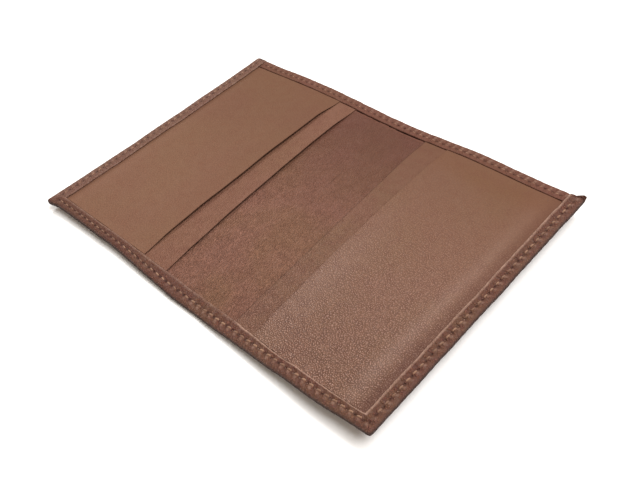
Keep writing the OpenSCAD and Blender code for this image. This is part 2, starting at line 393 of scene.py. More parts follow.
NEAR_TRIM = {RIGHT: 1.1, LEFT: 0.0}  # how much narrower the near hem gets to be than its pattern
TRIM_FROM, TRIM_OVER = 8, 28         # how far from the fold that starts, and over what it grows
CUT_EDGE_HIGHLIGHT_END = {RIGHT: 0.8, LEFT: 0.1}  # pale mark of the end hem's cut edge: paler raw edge and painted highlight
CUT_EDGE_HIGHLIGHT_NEAR = {RIGHT: (0.3, 1.1), LEFT: (0.3, 0.4)}  # of the near hem's, by the fold and over the pockets
SHADED_END = {RIGHT: 0.1, LEFT: 0.0}  # dark mark of the end hem's
SHADED_NEAR = 0.1                     # and of the near hem's


def end_hem_top(y):
    """Height of the end hem: it climbs over the liner's far hem and is rounded off at its far end."""
    return (HEM_TOP + 0.15 * smooth((y - HEM_INNER_FAR_Y + 0.7) / 1.2)
            - 0.35 * smooth((y - LINER_FAR_Y + 0.9) / 0.9))


def near_trim(side, x):
    """How much narrower than its pattern the near hem was turned."""
    return NEAR_TRIM[side] * smooth((x - TRIM_FROM) / TRIM_OVER)


def arris(side, on_end, s):
    """(pale, dark) of the hem's cut edge: its paler raw edge with a painted highlight where it stands proud,
    and painted shade where it lies deep.
    """
    uneven = 0.95 + 0.2 * wave(s, 8 + side, 7)
    over_pockets = smooth((s - MOUTHS[side][0]) / 4)
    pale = uneven * np.where(on_end, CUT_EDGE_HIGHLIGHT_END[side], mix(*CUT_EDGE_HIGHLIGHT_NEAR[side], over_pockets))
    return np.clip(pale, 0, 1), np.where(on_end, SHADED_END[side], SHADED_NEAR)


def edge_row(skin, side, o, level, coarse=False, relief=0.0, drift=True, cut=False, dark=0.0, pale=0.0):
    """A row of the cover's turned edge at offset o: along the near edge, round the mitre, along the end.

    level(top, y) gives its height from that of the hem's upper face, and relief is its share of the seam's
    relief. drift lets the edge wander a little, and cut the hem's cut edge too.
    """
    x_in, y_in = (FINE_X[PICKS_X], FINE_Y[PICKS_Y]) if coarse else (FINE_X, FINE_Y)
    near_x = HALF - fan(HEM_INNER_X - x_in, o)
    end_y = NEAR_Y + fan(y_in[1:] - HEM_INNER_NEAR_Y, o)
    on_end = np.arange(len(near_x) + len(end_y)) >= len(near_x)
    x = np.concatenate([near_x, np.full(len(end_y), HALF - o)])
    y = np.concatenate([np.full(len(near_x), NEAR_Y + o), end_y])
    s = np.where(on_end, y, x)
    pitch, first = np.where(on_end, END_PITCH, STITCH_PITCH), np.where(on_end, END_FIRST, 0)
    seed = 3.0 * side + np.where(on_end, 5.0, 0.0)
    top = np.where(on_end, end_hem_top(y), stack_under_hem(side, x) + LEATHER_T)
    bump, holes, puffs = hem_relief(side, o, s, pitch, first, seed)
    if drift:
        free = smooth(np.where(on_end, y - NEAR_Y, HALF - x) / 6)
        outer = 0.09 * wave(s, seed + 1, 19) + 0.03 * np.cos(2 * math.pi * (s - first) / pitch)
        inner = (0.12 * wave(s, seed + 2, 23) + 0.05 * wave(s, seed + 6, 6)
                 - np.where(on_end, 0, near_trim(side, s)))
        shift = free * (outer * (1 - o / HEM_WIDTH) ** 2 + cut * inner * (o / HEM_WIDTH) ** 3)
        x, y = x - np.where(on_end, shift, 0), y + np.where(on_end, 0, shift)
    x, y = round_corner(x, y)
    h = level(top, y) + relief * bump
    light, shade = arris(side, on_end, s)
    shade = dark + abs(relief) * holes + pale * shade + np.where(on_end, 0, HEM_DEPTH[side] * (relief > 0))
    # Painted shade on the end hem where it rounds off at its far end.
    shade += 0.5 * on_end * smooth((y - LINER_FAR_Y + 1.2) / 1.2)
    fade = np.where(on_end, HEM_FADE[side], 0) * (o > 0.8)
    # Pale mark: the end hem's paler tone, the painted highlight on the cut edge and the painted highlight on
    # the puffs.
    pale_tone_and_highlight = fade + pale * light + max(relief, 0) * puffs
    return skin.add(x, y, h, np.minimum(shade, 1), np.minimum(pale_tone_and_highlight, 1))


def inner_floor(y):
    """Height of the cover's inner face, with its own far hem and that hem's seam."""
    seam = 0.12 * hump(FAR_Y - y - SEAM_INSET, 0.4)
    return np.where(y < COVER_HEM_Y, COVER_T, COVER_HEM_TOP - seam)


def far_seam_dent(o, x, fade_x):
    """Dent of the far hem's seam in the outside of the cover."""
    dent = 0.1 * hump(o - SEAM_INSET, 0.5) + 0.2 * pits(o, x, STITCH_PITCH, 0)
    return dent * smooth((fade_x - x) / 2)


CURL = (0.7, 0.2, 2.1)  # how far the cover's far right corner curls out, on and up
FAR_CORNER_R, FAR_CORNER_CUT = 1.4, 0.5


def shape_far_corners(flat):
    """Rounds the cover's far corners and curls the right one up, which has come away from the liner."""
    x, y = flat[:, 0], flat[:, 1]
    u = np.clip(1 - (HALF - np.abs(x)) / FAR_CORNER_R, 0, 1)
    v = np.clip(1 - (FAR_Y - y) / FAR_CORNER_R, 0, 1)
    cut = FAR_CORNER_CUT * u * v
    lift = smooth((y - LINER_FAR_Y + 0.1) / 1.0) * smooth((x - HALF + 5) / 4.5)
    return flat - flat_points(np.sign(x) * cut, cut, 0) + lift[:, None] * CURL


def cover_half(side, material):
    """Half of the cover, from the middle of the spine: outside, turned edges, hems and inner face."""
    skin = Skin()

    def row(o, level, **more):
        return edge_row(skin, side, o, level, **more)

    def below(depth):
        return lambda top, y: top - depth

    def share(part):
        return lambda top, y: part * top

    outer = [row(HEM_WIDTH - inset, below(depth), cut=True, pale=pale, dark=dark)
             for inset, depth, pale, dark in CUT_EDGE]
    outer += [row(o, below(0), relief=1.0, cut=True, pale=CUT_RIM * (o == HEM_OFFSETS[0]))
              for o in HEM_OFFSETS]
    for degrees in WRAP_ANGLES:
        a = math.radians(degrees)
        outer.append(row(WRAP_R * (1 - math.cos(a)), share((1 + math.sin(a)) / 2),
                         relief=0.5 * max(0, math.sin(a)), dark=burnish_and_underside_shade(degrees)))
    # The outside's underside along the turned edge, with painted shade in its seam's holes.
    outer += [row(o, share(0), relief=-0.6, dark=0.05) for o in UNDER_OFFSETS]
    outer = np.stack(outer)
    skin.rows(outer)

    # Outside: the plain field, then finer rows along the far hem's seam, with painted shade in its dent and
    # holes.
    field_edge = row(FIELD_OFFSET, share(0), coarse=True, drift=False)
    skin.zip(outer[-1], field_edge, PICKS)
    field_x = HALF - fan(HEM_INNER_X - FINE_X, FIELD_OFFSET)
    field_y = NEAR_Y + fan(FINE_Y[PICKS_Y][:-len(FAR_ROWS)] - HEM_INNER_NEAR_Y, FIELD_OFFSET)
    x, y = np.meshgrid(field_x[PICKS_X], field_y)
    field = skin.grid(x, y, 0.0)
    x, y = np.meshgrid(field_x, FAR_ROWS)
    dent = far_seam_dent(FAR_Y - y, x, field_x[-1])
    far_zone = skin.grid(x, y, dent, dark=3 * dent)
    skin.zip(far_zone[0], field[-1], PICKS_X)

    # Inside of the hems and of the edge, with painted shade, and the inner face.
    under = [row(o, below(LEATHER_T), coarse=True, drift=False, dark=0.4) for o in (3.4, WALL_OFFSET)]
    under.append(row(WALL_OFFSET, lambda top, y: inner_floor(y), coarse=True, drift=False, dark=0.4))
    skin.zip(outer[0], under[0], PICKS)
    skin.rows(under)
    floor_x = HALF - fan(HEM_INNER_X - FINE_X[PICKS_X], WALL_OFFSET)
    floor_y = NEAR_Y + fan(FINE_Y[PICKS_Y] - HEM_INNER_NEAR_Y, WALL_OFFSET)
    x, y = np.meshgrid(floor_x, floor_y)
    inner = skin.grid(x, y, inner_floor(y))

    # The end hem's far end is closed across its thickness; that face gets painted shade.
    section = outer[:, -1]
    wraps = len(CUT_EDGE) + len(HEM_OFFSETS)
    middle = WRAP_ANGLES.index(0)
    under_top = end_hem_top(LINER_FAR_Y) - LEATHER_T
    offsets = [*(HEM_WIDTH - inset for inset, *_ in CUT_EDGE), *HEM_OFFSETS, *[WALL_OFFSET] * (middle + 1)]
    wall_h = np.linspace(under_top, COVER_HEM_TOP, middle + 1)
    close_h = np.concatenate([np.full(wraps, under_top), wall_h])
    close = skin.add(HALF - np.array(offsets), LINER_FAR_Y, close_h, dark=0.9)
    skin.rows([section[:wraps + middle + 1], close])

    # Far lip: the folded edge that stands out beyond the liner.
    r = COVER_HEM_TOP / 2
    lip_y = (FAR_Y - 0.8, FAR_Y - r)
    lip_x = np.concatenate([field_x, HALF - np.array(UNDER_OFFSETS[::-1]), [HALF - r]])
    under_section = section[wraps + len(WRAP_ANGLES) - 1:][::-1]
    first = np.concatenate([far_zone[-1], under_section])
    x, y = np.meshgrid(lip_x, lip_y)
    lip = skin.add(x, y, 0.0)
    skin.rows([first, *lip])
    low_angles = len(WRAP_ANGLES) - middle
    rim = []
    for k, a in enumerate(np.linspace(-math.pi / 2, math.pi / 2, low_angles)):
        o, h = r * (1 - math.cos(a)), r * (1 + math.sin(a))
        x = np.concatenate([[HALF - o, HALF - o], lip_x[:-1][::-1]])
        y = np.concatenate([[lip_y[0], FAR_Y - o], np.full(len(lip_x) - 1, FAR_Y - o)])
        ring = skin.add(x, y, h, dark=0.5 * math.cos(a) ** 2)
        rim.append(np.concatenate([[section[wraps + len(WRAP_ANGLES) - 1 - k]], ring]))
    skin.rows(rim)
    top_x = np.append(floor_x, HALF - r)
    top = skin.add(top_x, lip_y[0], COVER_HEM_TOP)
    skin.rows([np.append(inner[-1], section[wraps + middle]), top])
    rim_top = rim[-1][1:][::-1]
    picks = [*PICKS_X[:-1], len(lip_x) - 2, len(lip_x) - 1, len(lip_x)]
    skin.zip(rim_top, np.append(top, top[-1]), picks)

    name = SIDE_NAME[side]
    obj = skin.object(f"{name}_cover_leather", material, side, adjust=shape_far_corners)
    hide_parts(f"{name}_cover", f"{name}_end_hem", f"{name}_near_hem", f"{name}_cover_far_hem",
                "spine_cover", "spine_near_hem", "spine_cover_far_hem")
    attach(obj, side, bends=True)


# -------------------- liner with its far hem

LINER_WRAP_R = 0.6
FAR_TRIM = 0.6  # how much narrower than its pattern the liner's far hem was turned
# Its cut edge from below: inset, depth under the upper face and dark mark (dark raw edge and painted shade).
LINER_CUT_EDGE = ((0.0, LEATHER_T, 0.5), (0.0, 0.25, 0.45), (0.16, 0.07, 0.4), (0.34, 0.0, 0.25))


def liner_half(side, material):
    """Half of the liner, from the middle of the spine, with the hem turned along its far edge."""
    skin = Skin()
    fine = spaced(0, BORDER_X)
    picks = np.arange(0, len(fine), 4)
    coarse = fine[picks]
    seed = 4.0 + side

    def hem_top(x):
        tuck = 0.3 * smooth((x - HEM_INNER_X + 0.8) / 0.9)
        return stack_under_hem(side, x) + LEATHER_T - tuck

    def row(x, o, h, cut=0.0, **marks):
        inner = 0.1 * wave(x, seed, 21) + 0.05 * wave(x, seed + 2, 6)
        outer = 0.07 * wave(x, seed + 1, 17) + 0.03 * np.cos(2 * math.pi * x / STITCH_PITCH)
        y = (LINER_FAR_Y - o + cut * (FAR_TRIM - inner) * (o / HEM_WIDTH) ** 3
             - outer * max(0, 1 - o / HEM_WIDTH) ** 2)
        return skin.add(x, y, h, **marks)

    x, y = np.meshgrid(coarse, np.concatenate([spaced(LINER_NEAR_Y, HEM_INNER_FAR_Y - 0.2, 1.4),
                                               [HEM_INNER_FAR_Y + 1, LINER_FAR_Y - 1]]))
    free = smooth((HEM_INNER_FAR_Y - y) / 6) * smooth((y - HEM_INNER_NEAR_Y) / 6)
    field = skin.grid(x, y, LINER_TOP + 0.06 * wave(x + y, seed, 31) * free)
    fold = row(coarse, 0.8, hem_top(coarse) - LEATHER_T)
    # The hem's underside gets painted shade.
    under = row(coarse, HEM_WIDTH - 1, hem_top(coarse) - LEATHER_T, dark=0.4)
    skin.rows([field[-1], fold, under])
    rows = [row(fine, HEM_WIDTH - inset, hem_top(fine) - depth, 1, dark=dark)
            for inset, depth, dark in LINER_CUT_EDGE]
    skin.zip(rows[0], under, picks)
    # Hem rows: painted shade in the seam's holes and groove, painted highlight on the puffs.
    for o in HEM_OFFSETS[:-1] + (1.3, 1.0):
        bump, holes, puffs = hem_relief(side, o, fine, STITCH_PITCH, 0, seed)
        rows.append(row(fine, o, hem_top(fine) + bump, 1, dark=holes, pale=puffs))
    for degrees in (80, 50, 20, -20, -50, -90):
        a = math.radians(degrees)
        rows.append(row(fine, LINER_WRAP_R * (1 - math.cos(a)),
                        mix(LINER_Z, hem_top(fine), (1 + math.sin(a)) / 2), dark=burnish_and_underside_shade(degrees)))
    skin.rows(rows)
    x, y = np.meshgrid(coarse, spaced(LINER_FAR_Y - 1, LINER_NEAR_Y, 2.8))
    back = skin.grid(x, y, LINER_Z)
    skin.zip(rows[-1], back[0], picks)
    skin.rows([back[-1], field[0]])

    name = SIDE_NAME[side]
    obj = skin.object(f"{name}_liner_leather", material, side, leaf=True)
    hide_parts(f"{name}_liner", f"{name}_liner_far_hem", "spine_liner", "spine_liner_far_hem")
    attach(obj, side, bends=True)


# -------------------- pockets

MOUTH_STEPS = (0, 0.05, 0.14, 0.3, 0.6, 1.0, 1.6, 2.3, 3.1, 4.0)  # rows from a pocket's mouth inwards
MOUTH_ROUND = (0.1, 0.09)              # depth and reach of the rounding of its edge
EDGE_MARK = (0.35, 0.26)               # strength and reach of the painted shade along the edge on its upper face
GAPE_REACH = 5.0                       # how far in the leather follows a mouth that gapes
STEP_AT_NEAR, STEP_AT_FAR = 0.48, 0.2  # share of a pocket's height that it gains right beside each hem


def pocket_y():
    """Samples across a pocket, closer together where it goes down under the hems."""
    near, far = HEM_INNER_NEAR_Y, HEM_INNER_FAR_Y + FAR_TRIM
    stops = (LINER_NEAR_Y, near - 0.3, near + 0.3, near + 1.5, far - 1.5, far - 0.3, far + 0.3,
             LINER_FAR_Y - (LINER_NEAR_Y - NEAR_Y))
    steps = (0.6, 0.05, 0.3, 0.9, 0.3, 0.05, 0.6)
    parts = [spaced(start, stop, step)[:-1] for start, stop, step in zip(stops, stops[1:], steps)]
    return np.append(np.concatenate(parts), stops[-1])


def pocket(side, which, material, shift, slant, bow, gape, edge_dark, shape):
    """A pocket of one half.

    shape(x, y) gives its top's height, the share of its full thickness, and its dark and pale marks, which
    are painted shade and painted highlights. edge_dark darkens the mouth's edge: its dark raw edge, with
    painted shade along it.
    """
    name = f"{SIDE_NAME[side]}_{which}_pocket"
    low, high = flat_box(name)
    mouth, end = low[0], high[0]
    y = pocket_y()
    lip = (mouth + shift + slant * (along(y) - 0.5) + bow * arc(y)
           + 0.1 * wave(y, 2 + side + mouth, 37))
    inward = np.concatenate([MOUTH_STEPS, spaced(MOUTH_STEPS[-1], end - mouth, 0.8)[1:]])
    share = inward / (end - mouth)
    x = lip[None, :] + (end - lip)[None, :] * share[:, None]
    kept = (smooth((y - LINER_NEAR_Y) / (HEM_INNER_NEAR_Y - LINER_NEAR_Y))
            * smooth((HEM_INNER_NEAR_Y + 12 - y) / 12))
    y = y - near_trim(side, x) * kept
    top, part, dark, pale = shape(x, y)
    top = top + gape * arc(y) ** 0.7 * hump(x - lip, GAPE_REACH) * part
    thick = mix(PARED_T, LEATHER_T, part)
    depth, reach = MOUTH_ROUND
    round_off = depth * hump(x - lip, reach) * part
    # Painted shade along the mouth's edge on the upper face; the edge's own faces are dark raw edge and
    # painted shade.
    strength, reach = EDGE_MARK
    dark = strength * edge_dark * hump(x - lip, reach) + dark
    skin = Skin()
    upper = skin.grid(*(v[::-1] for v in (x, y, top - round_off, dark, pale)))
    lower = skin.grid(x, y, top - thick + 0.6 * round_off, dark=edge_dark)
    side_row = skin.add(x[0] - 0.04, y[0], top[0] - thick[0] / 2, dark=edge_dark)
    skin.rows([upper[-1], side_row, lower[0]])
    obj = skin.object(f"{name}_leather", material, side, leaf=True)
    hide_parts(name)
    attach(obj, side, bends=False)


def hem_distance(side, x, y):
    """Distances inside the end, near and far hems' inner edges."""
    return HEM_INNER_X - x, y - HEM_INNER_NEAR_Y + near_trim(side, x), HEM_INNER_FAR_Y + FAR_TRIM - y


def rise(distance, step):
    """Share of a pocket's height at a distance inside a hem: a step beside the hem, then a slow swell."""
    return step * smooth((distance + 0.1) / 0.17) + (1 - step) * smooth((distance - 0.2) / 11)


def rise_between(near, far):
    return np.minimum(rise(near, STEP_AT_NEAR), rise(far, STEP_AT_FAR))


def rear_shape(side):
    top = flat_box(f"{SIDE_NAME[side]}_rear_pocket")[1][2]

    def shape(x, y):
        _, near, far = hem_distance(side, x, y)
        part = rise_between(near, far)
        return mix(LINER_TOP + PARED_T, top, part), part, 0 * x, 0 * x
    return shape


END_SLOPE = {RIGHT: (5.2, 3.0), LEFT: (2.6, 2.6)}  # width of the slope inside the end hem, near and far
RIDGE = {RIGHT: 0.42, LEFT: 0.1}     # height of the ridge that follows it, which also gets a painted highlight
VALLEY = {RIGHT: 0.6, LEFT: 0.42}    # painted shade on the slope
VALLEY_AT = {RIGHT: 0.9, LEFT: 0.2}  # where it is darkest, from the hem
VALLEY_WIDTH = {RIGHT: 2.5, LEFT: 0.75}
PAINTED_SHEEN = {RIGHT: 0.1, LEFT: 0.0}  # painted sheen where a front pocket swells at its mouth
PAINTED_SHEEN_AT = (3.0, 0.29)           # middle of that patch, from the mouth and along the fold
PAINTED_SHEEN_SIZE = (6.0, 0.25)


def front_shape(side):
    name = SIDE_NAME[side]
    (mouth, _, _), (_, _, top) = flat_box(f"{name}_front_pocket")
    under = LINER_TOP + 2 * PARED_T

    def shape(x, y):
        end, near, far = hem_distance(side, x, y)
        v = np.clip(along(y), 0, 1)
        slope = mix(*END_SLOPE[side], v)
        part = smooth(end / slope) * rise_between(near, far)
        ridge = RIDGE[side] * (1 - 0.93 * v) * hump(end - slope - 0.8, 2.6) * part
        swell = 0.12 * wave(0.7 * x + y, 6 + side, 47) * part
        # Painted shade on the slope inside the end hem; painted highlights on the ridge and on the swell by
        # the mouth.
        valley = VALLEY[side] * (1 - 0.5 * v) * hump(end - VALLEY_AT[side], VALLEY_WIDTH[side])
        painted_sheen = (PAINTED_SHEEN[side] * hump(x - mouth - PAINTED_SHEEN_AT[0], PAINTED_SHEEN_SIZE[0])
                 * hump(v - PAINTED_SHEEN_AT[1], PAINTED_SHEEN_SIZE[1]))
        return mix(under, top, part) + ridge + swell, part, valley, 0.4 * ridge + painted_sheen
    return shape


# -------------------- cloth

def cloth_slab(node, side, material, start=None, bends=False):
    """A thin sheet of cloth in a node's place; a lining starts from the middle of the spine."""
    low, high = flat_box(node)
    x0 = low[0] if start is None else start
    x, y = np.meshgrid(spaced(x0, high[0], 1.6), spaced(low[1], high[1], 1.6))
    sag = 0.02 * wave(x + 0.6 * y, 3.0, 13)
    skin = Skin()
    upper = skin.grid(x, y, high[2] + sag)
    lower = skin.grid(x, y, low[2] + 0.02)
    for edge in ((0, ...), (-1, ...), (..., -1), (..., 0)):
        skin.rows([upper[edge], lower[edge]])
    obj = skin.object(f"{node}_cloth", material, side, leaf=not bends)
    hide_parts(node)
    if bends:
        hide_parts("spine_lining")
    attach(obj, side, bends)


# -------------------- thread

def seam(name, side, x, y, h, along_y, material, slot, nodes, dive=0.42, lean=0.1, radius=THREAD_R, up=1,
         reach=0.78, bends=False, leaf=False):
    """Stitches of two-ply thread centred at (x, y, h). Their ends dive into the needle holes.

    dive is how deep, lean how far a stitch turns out of line, reach half its length, and up -1 outside.
    """
    skin = Skin()
    u = np.linspace(-1, 1, 15)[:, None]
    turn = np.linspace(0, 2 * math.pi, 10, endpoint=False)[None, :]
    for k in range(len(x)):
        r = radius * (1 + 0.17 * np.cos(2 * turn + 9 * u)) * (1 - 0.2 * u ** 8)
        run = u * reach * (1 + 0.05 * math.sin(5.1 * k)) + 0 * turn
        off = lean * u * (1 + 0.4 * math.sin(3.7 * k)) + r * np.cos(turn)
        lift = up * (-dive * np.abs(u) ** 3.2 + r * np.sin(turn))
        px, py = (x[k] + off, y[k] + run) if along_y else (x[k] + run, y[k] + off)
        skin.grid(px, py, h[k] + lift, dark=0.5 + 0.5 * math.sin(7.3 * k), loop=True)
    obj = skin.object(name, material, side, sharp=180, leaf=leaf)
    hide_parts(*nodes)
    attach(obj, side, bends)


# -------------------- materials

class Shade:
    """A material whose nodes are made one after the other."""

    def __init__(self, name, **sockets):
        self.material = bpy.data.materials.new(name)
        self.material.use_nodes = True
        self.nodes, self.links = self.material.node_tree.nodes, self.material.node_tree.links
        self.shader = self.nodes["Principled BSDF"]
        self.put(self.shader, sockets)

    def put(self, node, sockets):
        for key, value in sockets.items():
            socket = node.inputs[key if isinstance(key, int) else key.replace("_", " ")]
            if isinstance(value, bpy.types.NodeSocket):
                self.links.new(value, socket)
            elif value is not None:
                socket.default_value = value

    def add(self, kind, output=0, sockets=(), **settings):
        node = self.nodes.new(kind)
        for key, value in settings.items():
            setattr(node, key, value)
        self.put(node, dict(sockets))
        return node.outputs[output]

    def math(self, operation, *values):
        return self.add("ShaderNodeMath", 0, enumerate(values), operation=operation)

    def attribute(self, name, output="Fac"):
        return self.add("ShaderNodeAttribute", output, attribute_name=name)

    def ramp(self, value, low, high, start=0.0, end=1.0):
        return self.add("ShaderNodeMapRange", 0, {"Value": value, "From Min": low, "From Max": high,
                                                  "To Min": start, "To Max": end},
                        interpolation_type="SMOOTHSTEP")

    def blend(self, share, a, b, mode="MIX"):
        """Mix of two colours, each a socket or red, green and blue."""
        a, b = ((*c, 1.0) if isinstance(c, tuple) else c for c in (a, b))
        return self.add("ShaderNodeMix", 2, {0: share, 6: a, 7: b}, data_type="RGBA", blend_type=mode)

    def noise(self, vector, scale, detail=3.0, roughness=0.55, output=0):
        return self.add("ShaderNodeTexNoise", output, {"Vector": vector, "Scale": scale, "Detail": detail,
                                                       "Roughness": roughness})

    def mapped(self, vector, scale, turn=0.0):
        return self.add("ShaderNodeMapping", 0, {"Vector": vector, "Rotation": (0, 0, turn), "Scale": scale})

    def bump(self, height, depth, normal=None):
        """Bump whose full height is depth millimetres."""
        out = self.add("ShaderNodeBump", 0, {"Height": height, "Distance": depth * MM, "Strength": 1.0,
                                             "Normal": normal})
        self.put(self.shader, {"Normal": out})
        return out


WHITE = (1.0, 1.0, 1.0)
GLINT_COLOUR = (0.46, 0.315, 0.26)  # colour of the glints painted on the grain's tops
FAR_TINT_FROM = -25           # where along the fold a leather starts to turn to its far tint


def leather(name, base, red, olive, pebble=0.55, depth=0.05, streak=0.0, streak_turn=0.0, calm=0.6,
            roughness=0.5, mottle=0.5, mottle_size=3.0, crease_share=0.3, shine=0.22,
            far_tint=None, hem_tint=None, painted_glints=0.0, dims="2D",
            edge=(0.026, 0.009, 0.006), cut=(0.40, 0.25, 0.19)):
    """Leather with pebbled grain, streaks and mottling, dark marks for burnished edges and painted shade, and
    pale ones for cut edges and painted highlights.

    base turns olive in slow clouds, and red in patches by mottle. pebble and depth are the grain's size
    and depth in mm, and calm is the share of it at the far edge. crease_share paints shade into its creases
    and light on its tops, and painted_glints paints glints on its tops. far_tint multiplies the colour at the
    far edge, hem_tint on the far hem. edge is the colour of dark marks: burnished edges and painted shade.
    cut is that of pale ones: paler cut edges and painted highlights.
    """
    s = Shade(name, Specular_IOR_Level=shine)
    rest = s.attribute("rest", "Vector")
    cloud = s.noise(rest, 0.045, 4.0)
    patch = s.noise(rest, 1 / mottle_size, 4.0, 0.6)
    fleck = s.noise(rest, 2.4, 3.0, 0.6)
    shove = s.add("ShaderNodeVectorMath", 0, {0: s.noise(rest, 1.1, 2.0, output=1), 1: (0.5, 0.5, 0.5)},
                  operation="SUBTRACT")
    bent = s.add("ShaderNodeVectorMath", 0, {0: shove, 1: (pebble,) * 3, 2: rest}, operation="MULTIPLY_ADD")
    cell = s.add("ShaderNodeTexVoronoi", 0, {"Vector": bent, "Scale": 1 / pebble, "Randomness": 0.85},
                 feature="F1", voronoi_dimensions=dims)
    small = s.add("ShaderNodeTexVoronoi", 0, {"Vector": bent, "Scale": 2.3 / pebble, "Randomness": 1.0},
                  feature="F1")
    dome = s.math("MULTIPLY_ADD", s.ramp(small, 0.05, 0.6, 1, 0), 0.35, s.ramp(cell, 0.08, 0.62, 1, 0))
    if streak:
        lines = s.noise(s.mapped(bent, (2.6, 0.55, 1.0), streak_turn), 1.0, 3.0, 0.5)
        dome = s.math("MULTIPLY_ADD", s.ramp(lines, 0.36, 0.64), streak, dome)
    y = s.add("ShaderNodeSeparateXYZ", 1, {0: rest})
    strength = s.math("MULTIPLY", s.ramp(y, NEAR_Y, FAR_Y, 1, calm), s.ramp(patch, 0.3, 0.7, 0.75, 1.15))
    grain = s.math("MULTIPLY", dome, strength)

    tone = s.blend(s.ramp(cloud, 0.35, 0.65), base, olive)
    tone = s.blend(s.ramp(patch, 0.42, 0.72, 0, mottle), tone, red)
    # Painted shade in the grain's creases and painted light on its tops, with random flecks.
    level = s.math("MULTIPLY", s.ramp(dome, 0.05, 1.0 + streak, -0.5, 0.5), strength)
    crease = s.math("MULTIPLY_ADD", level, crease_share, 1.0)
    speck = s.math("MULTIPLY_ADD", fleck, 0.34, s.math("MULTIPLY", crease, 0.83))
    tone = s.blend(1.0, tone, speck, "MULTIPLY")
    # Painted glints on the grain's tops.
    if painted_glints:
        top = s.math("MULTIPLY", s.ramp(cell, 0.06, 0.40, painted_glints, 0), strength)
        tone = s.blend(top, tone, GLINT_COLOUR)
    if far_tint:
        tint = s.blend(s.ramp(y, FAR_TINT_FROM, HEM_INNER_FAR_Y), WHITE, far_tint)
        if hem_tint:
            tint = s.blend(s.ramp(y, HEM_INNER_FAR_Y - 0.3, HEM_INNER_FAR_Y), tint, hem_tint)
        tone = s.blend(1.0, tone, tint, "MULTIPLY")
    # Pale marks: paler cut edges and painted highlights; dark marks: burnished edges and painted shade.
    tone = s.blend(s.attribute("pale"), tone, cut)
    tone = s.blend(s.ramp(s.attribute("dark"), 0.0, 1.0, 0, 0.92), tone, edge)
    rough = s.math("MULTIPLY_ADD", patch, 0.16, s.math("MULTIPLY_ADD", crease, -0.2, roughness + 0.12))
    rough = s.math("MULTIPLY_ADD", s.attribute("dark"), 0.3, rough)
    rough = s.math("ADD", rough, s.ramp(y, NEAR_Y, FAR_Y, 0, 0.25 * (1 - calm)))
    s.put(s.shader, {"Base Color": tone, "Roughness": rough})
    s.bump(s.math("MULTIPLY_ADD", fleck, 0.22, grain), depth)
    return s.material


def thread(name, light, deep):
    """Twisted thread: fine fibres, and each stitch a little lighter or deeper."""
    s = Shade(name, Roughness=0.62, Specular_IOR_Level=0.3, Sheen_Weight=0.25, Sheen_Roughness=0.5)
    rest = s.attribute("rest", "Vector")
    fibre = s.noise(s.mapped(rest, (9.0, 9.0, 16.0), 0.6), 1.0, 2.0)
    tone = s.blend(s.attribute("dark"), light, deep)
    tone = s.blend(1.0, tone, s.ramp(fibre, 0.3, 0.7, 0.7, 1.1), "MULTIPLY")
    s.put(s.shader, {"Base Color": tone})
    s.bump(fibre, 0.03)
    return s.material


def cloth(name, light, deep, pitch=0.45):
    """Plain weave of a pitch in mm."""
    s = Shade(name, Roughness=0.8, Specular_IOR_Level=0.25, Sheen_Weight=0.3, Sheen_Roughness=0.4)
    rest = s.attribute("rest", "Vector")
    x, y = (s.add("ShaderNodeSeparateXYZ", k, {0: rest}) for k in range(2))
    warp, weft = (s.math("COSINE", s.math("MULTIPLY", v, math.pi / pitch)) for v in (x, y))
    weave = s.ramp(s.math("MULTIPLY", warp, weft), -1, 1)
    loose = s.noise(rest, 1.7, 3.0)
    tone = s.blend(s.math("MULTIPLY_ADD", loose, 0.5, s.math("MULTIPLY", weave, 0.6)), deep, light)
    s.put(s.shader, {"Base Color": tone})
    s.bump(s.math("MULTIPLY_ADD", loose, 0.3, weave), 0.05)
    return s.material


def paper(name):
    """The pale floor's matt finish."""
    s = Shade(name, Roughness=0.9, Specular_IOR_Level=0.1)
    cloud = s.noise(s.add("ShaderNodeTexCoord", "Object"), 3.0, 2.0)
    tone = s.blend(s.ramp(cloud, 0.3, 0.7), (0.93, 0.93, 0.93), (0.95, 0.95, 0.95))
    s.put(s.shader, {"Base Color": tone})
    return s.material


# -------------------- camera, light and floor

SENSOR_WIDTH, LENS = 36, 45.7         # mm
CAMERA_AT = (141.25, -114.7, 183.49)  # mm
CAMERA_FORWARD, CAMERA_RIGHT = (-0.5175, 0.4353, -0.7367), (0.7325, 0.6704, -0.1185)
FLOOR_REACH, FLOOR_DROP = 3, 0.0002  # metres from the middle, and below the table's height


def set_camera():
    """A camera at the holder's near right side, looking down on it with a slight roll."""
    forward, right = Vector(CAMERA_FORWARD).normalized(), Vector(CAMERA_RIGHT)
    right = (right - right.dot(forward) * forward).normalized()
    up = right.cross(forward)
    data = bpy.data.cameras.new("camera")
    data.sensor_fit, data.sensor_width, data.lens = "HORIZONTAL", SENSOR_WIDTH, LENS
    data.clip_start = 0.01
    camera = new_object("camera", data)
    turn = Matrix((right, up, -forward)).transposed().to_4x4()
    camera.matrix_world = Matrix.Translation(Vector(CAMERA_AT) * MM) @ turn
    bpy.context.scene.camera = camera


def softbox(name, towards, distance, size, watts):
    """A white square area light over the holder, in the given direction from it."""
    data = bpy.data.lights.new(name, "AREA")
    data.shape, data.size, data.energy = "SQUARE", size, watts
    lamp = new_object(name, data)
    at = Vector(towards).normalized() * distance
    lamp.matrix_world = Matrix.Translation(at) @ at.to_track_quat("Z", "Y").to_matrix().to_4x4()


